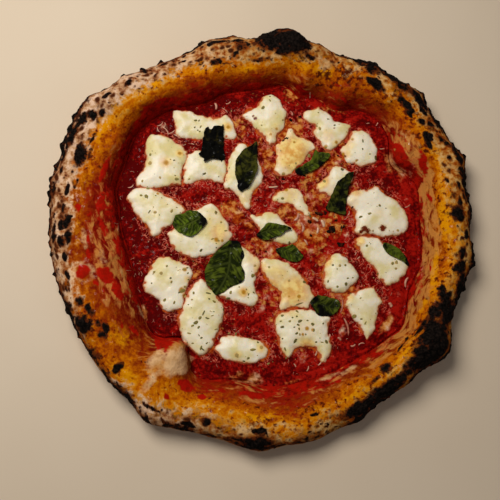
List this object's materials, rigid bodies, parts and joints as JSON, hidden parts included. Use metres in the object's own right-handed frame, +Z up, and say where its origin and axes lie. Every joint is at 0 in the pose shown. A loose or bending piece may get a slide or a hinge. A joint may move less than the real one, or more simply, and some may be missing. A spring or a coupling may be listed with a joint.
{
  "type": "margherita pizza",
  "caption": "Round margherita pizza with a tall, blistered and scorched rim, tomato sauce, melted mozzarella slabs and basil leaves.",
  "frame": {"origin": "the middle of the pizza's box, on the flat underside that it rests on", "axes": "+Z up out of the toppings, +X to the right and +Y away when the burnt bump of the rim is at the far side"},
  "size_m": [0.2994, 0.304, 0.0355],
  "materials": {
    "baked_dough": "matte, floured and scorched",
    "tomato_sauce": "wet gloss",
    "mozzarella": "satin, moist",
    "basil": "satin, wilted"
  },
  "bodies": {
    "root": {"crust": "baked_dough", "tomato_sauce": "tomato_sauce", "mozzarella_01": "mozzarella", "mozzarella_02": "mozzarella", "mozzarella_03": "mozzarella", "mozzarella_04": "mozzarella", "mozzarella_05": "mozzarella", "mozzarella_06": "mozzarella", "mozzarella_07": "mozzarella", "mozzarella_08": "mozzarella", "mozzarella_09": "mozzarella", "mozzarella_10": "mozzarella", "mozzarella_11": "mozzarella", "mozzarella_12": "mozzarella", "mozzarella_13": "mozzarella", "mozzarella_14": "mozzarella", "mozzarella_15": "mozzarella", "mozzarella_16": "mozzarella", "mozzarella_17": "mozzarella", "mozzarella_18": "mozzarella", "mozzarella_19": "mozzarella", "mozzarella_20": "mozzarella", "mozzarella_21": "mozzarella", "mozzarella_22": "mozzarella", "mozzarella_23": "mozzarella", "basil_01": "basil", "basil_02": "basil", "basil_03": "basil", "basil_04": "basil", "basil_05": "basil", "basil_06": "basil", "basil_07": "basil", "basil_08": "basil", "basil_09": "basil", "basil_10": "basil"}
  },
  "joints": []
}
